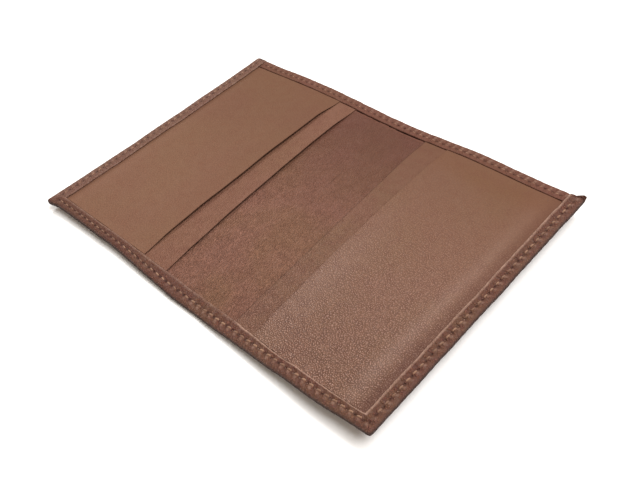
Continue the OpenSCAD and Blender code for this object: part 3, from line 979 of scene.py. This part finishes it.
def set_light():
    """A warm, even surround, a large light from above and a smaller one from the far left."""
    world = bpy.data.worlds.new("studio")
    world.use_nodes = True
    background = world.node_tree.nodes["Background"]
    background.inputs["Color"].default_value = (1.0, 0.88, 0.75, 1.0)
    background.inputs["Strength"].default_value = 0.5
    bpy.context.scene.world = world
    bpy.context.scene.view_settings.view_transform = "Standard"
    softbox("overhead", (0.42, 0.18, 0.89), distance=2.2, size=1.5, watts=54.0)
    softbox("window", (-0.5, 0.3, 0.81), distance=1.6, size=0.4, watts=10.5)


def set_floor():
    """A large pale floor under the object."""
    lines = np.linspace(-FLOOR_REACH, FLOOR_REACH, 13)
    x, y = np.meshgrid(lines, lines)
    index = np.arange(x.size).reshape(x.shape)
    quads = np.stack([index[:-1, :-1], index[:-1, 1:], index[1:, 1:], index[1:, :-1]], axis=-1)
    mesh = bpy.data.meshes.new("floor")
    mesh.from_pydata(flat_points(x, y, -FLOOR_DROP).reshape(-1, 3).tolist(), [],
                     quads.reshape(-1, 4).tolist())
    mesh.materials.append(paper("floor_paper"))
    floor = new_object("floor", mesh)


# -------------------- the holder

COVER_LEATHER = leather("cover_leather", (0.126, 0.047, 0.030), (0.133, 0.048, 0.035),
                        (0.135, 0.061, 0.035), pebble=0.6, depth=0.28, mottle=1.0, mottle_size=1.4,
                        crease_share=0.75, calm=0.9, roughness=0.43, shine=0.28, dims="3D")
LINER_LEATHER = leather("liner_leather", (0.212, 0.097, 0.067), (0.195, 0.078, 0.053),
                        (0.203, 0.099, 0.059), pebble=0.5, depth=0.27, streak=0.9, shine=0.28,
                        streak_turn=math.radians(-45), calm=0.3, roughness=0.42, crease_share=0.6,
                        mottle=0.15, far_tint=(0.49, 0.38, 0.34), hem_tint=(0.58, 0.46, 0.42))
POCKET_LEATHER = {
    # Its dark colour is for the painted shade in the valley and along the mouth, its pale one for the painted
    # highlights on the ridge and the swell.
    (RIGHT, "front"): leather("right_front_pocket_leather", (0.170, 0.075, 0.047),
                              (0.158, 0.064, 0.041), (0.165, 0.076, 0.043), pebble=0.56,
                              depth=0.25, calm=0.05, roughness=0.38, shine=0.4, crease_share=0.72,
                              far_tint=(0.72, 0.63, 0.43), painted_glints=0.52,
                              edge=(0.062, 0.015, 0.010), cut=(0.40, 0.28, 0.25)),
    (RIGHT, "rear"): leather("right_rear_pocket_leather", (0.170, 0.076, 0.049),
                             (0.153, 0.060, 0.039), (0.159, 0.077, 0.043), pebble=0.5,
                             depth=0.24, calm=0.1, roughness=0.40, streak=0.5, streak_turn=math.radians(-45),
                             crease_share=0.65, shine=0.32, far_tint=(0.72, 0.64, 0.52), painted_glints=0.3),
    (LEFT, "front"): leather("left_front_pocket_leather", (0.154, 0.071, 0.041),
                             (0.153, 0.064, 0.038), (0.157, 0.076, 0.042), pebble=0.45,
                             depth=0.04, calm=0.6, roughness=0.58, mottle=0.3,
                             far_tint=(0.86, 0.83, 0.80)),
    (LEFT, "rear"): leather("left_rear_pocket_leather", (0.178, 0.082, 0.053),
                            (0.169, 0.070, 0.047), (0.174, 0.083, 0.050), pebble=0.5,
                            depth=0.14, calm=0.6, roughness=0.5, mottle=0.4, streak=0.5,
                            streak_turn=math.radians(60), far_tint=(0.92, 0.90, 0.88)),
}
LINING_CLOTH = cloth("lining_cloth", (0.055, 0.038, 0.032), (0.020, 0.013, 0.011))
SEAM_THREAD = thread("seam_thread", (0.30, 0.165, 0.10), (0.19, 0.095, 0.055))
INNER_THREAD = thread("inner_thread", (0.06, 0.04, 0.03), (0.035, 0.022, 0.018))

# Each pocket mouth's shift, slant and bow from its pattern, how far it gapes, and how dark its edge is (dark
# raw edge and painted shade).
MOUTH = {(RIGHT, "front"): (0.1, -1.1, -1.6, 0.1, 0.7), (RIGHT, "rear"): (0.2, -2.0, -0.5, 0.2, 1.6),
         (LEFT, "front"): (-0.5, -1.5, 1.2, 0.8, 0.85), (LEFT, "rear"): (-0.5, 1.6, 1.5, 0.6, 0.85)}


def add_pockets(side):
    """The rear and the front pocket of a half."""
    for which, shape in (("rear", rear_shape(side)), ("front", front_shape(side))):
        pocket(side, which, POCKET_LEATHER[side, which], *MOUTH[side, which], shape)


SUNK, UNDER = 0.1, 0.13  # how deep the stitches lie in the hems, and in the outside
BACKING_THREAD_R = 0.14


def add_seams(side):
    """Seams that show on the hems and on the outside, and the hidden seam of the rear pocket."""
    name = SIDE_NAME[side]
    last = math.floor((HALF - SEAM_INSET - STITCH_LENGTH / 2) / STITCH_PITCH)
    centre = 0 if side == RIGHT else 1
    x = np.arange(centre, last + 1) * STITCH_PITCH
    far_x = x[x < HEM_INNER_X - STITCH_LENGTH / 2]
    end_y = np.arange(END_FIRST, HEM_INNER_FAR_Y + 0.1, END_PITCH)
    near_top = stack_under_hem(side, x) + LEATHER_T
    far_top = stack_under_hem(side, far_x) + LEATHER_T
    thin = {"radius": THIN_THREAD_R}

    def make(part, x, y, h, along_y, node, up=1, **more):
        seam(f"{name}_{part}_thread", side, x + 0 * y, y + 0 * x, h + 0 * x + 0 * y, along_y, SEAM_THREAD,
             "seam_thread", [f"{name}_{node}"], up=up, **more)

    near, far, end = NEAR_Y + SEAM_INSET, FAR_Y - SEAM_INSET, HALF - SEAM_INSET
    end_thread = {} if side == RIGHT else thin
    make("near_seam", x, near, near_top - SUNK, False, "near_stitching", bends=True)
    make("near_seam_outside", x, near, UNDER, False, "near_stitching", up=-1, bends=True, **thin)
    make("end_seam", end, end_y, end_hem_top(end_y) - SUNK, True, "end_stitching", **end_thread)
    make("end_seam_outside", end, end_y, UNDER, True, "end_stitching", up=-1, **thin)
    make("liner_far_seam", far_x, LINER_FAR_Y - SEAM_INSET, far_top - SUNK - 0.09, False,
         "liner_far_stitching", bends=True, leaf=True, **thin)
    make("cover_far_seam", far_x, far, COVER_HEM_TOP - 0.06, False, "cover_far_stitching", bends=True, **thin)
    make("cover_far_seam_outside", far_x, far, UNDER, False, "cover_far_stitching", up=-1, bends=True, **thin)
    low, high = flat_box(f"{name}_backing_seam")
    y = np.arange(low[1] + STITCH_LENGTH / 2, high[1], STITCH_PITCH)
    x, _, h = (low + high) / 2
    seam(f"{name}_backing_seam_thread", side, x + 0 * y, y, h + 0 * y, True, INNER_THREAD, "inner_thread",
         [f"{name}_backing_seam"], dive=0.05, radius=BACKING_THREAD_R, leaf=True)


def build():
    for side in (RIGHT, LEFT):
        name = SIDE_NAME[side]
        cover_half(side, COVER_LEATHER)
        liner_half(side, LINER_LEATHER)
        add_pockets(side)
        cloth_slab(f"{name}_lining", side, LINING_CLOTH, start=0.0, bends=True)
        cloth_slab(f"{name}_rear_pocket_backing", side, LINING_CLOTH)
        add_seams(side)
    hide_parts("spine_stitching")


set_camera()
set_light()
set_floor()
build()
